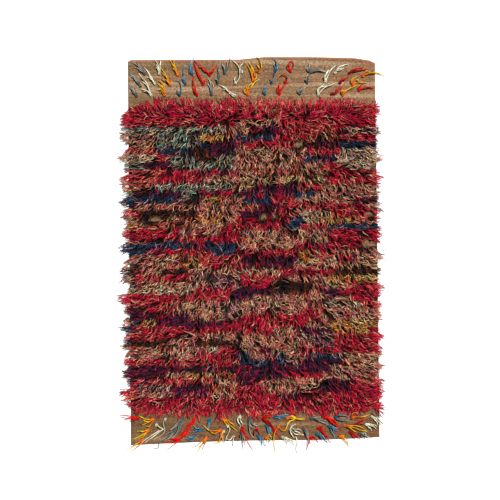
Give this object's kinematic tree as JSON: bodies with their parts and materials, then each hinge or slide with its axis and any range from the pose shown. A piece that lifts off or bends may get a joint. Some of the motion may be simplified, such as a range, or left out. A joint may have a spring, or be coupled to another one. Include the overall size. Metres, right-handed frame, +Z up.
{
  "type": "shag pile rug with kilim ends",
  "caption": "Hand-knotted wool shag rug lying flat: long lumpy pile in coloured runs on a flat-woven ground cloth, with camel kilim ends and single bright tufts.",
  "frame": {"origin": "on the underside of the cloth, at the middle of the rug", "axes": "+Y along the rug's length towards the deeper kilim end, +X across its width, +Z up out of the pile"},
  "size_m": [1.3029, 1.9361, 0.0493],
  "materials": {
    "ground_cloth": "matt, coarse flat weave",
    "tufted_kilim": "matt, coarse flat weave with single tufts of dyed wool",
    "pile_wool": "matt, long twisted wool yarn"
  },
  "bodies": {
    "root": {"ground_weave": "ground_cloth", "kilim_end_far": "tufted_kilim", "kilim_end_near": "tufted_kilim", "shag_pile": "pile_wool"}
  },
  "joints": []
}
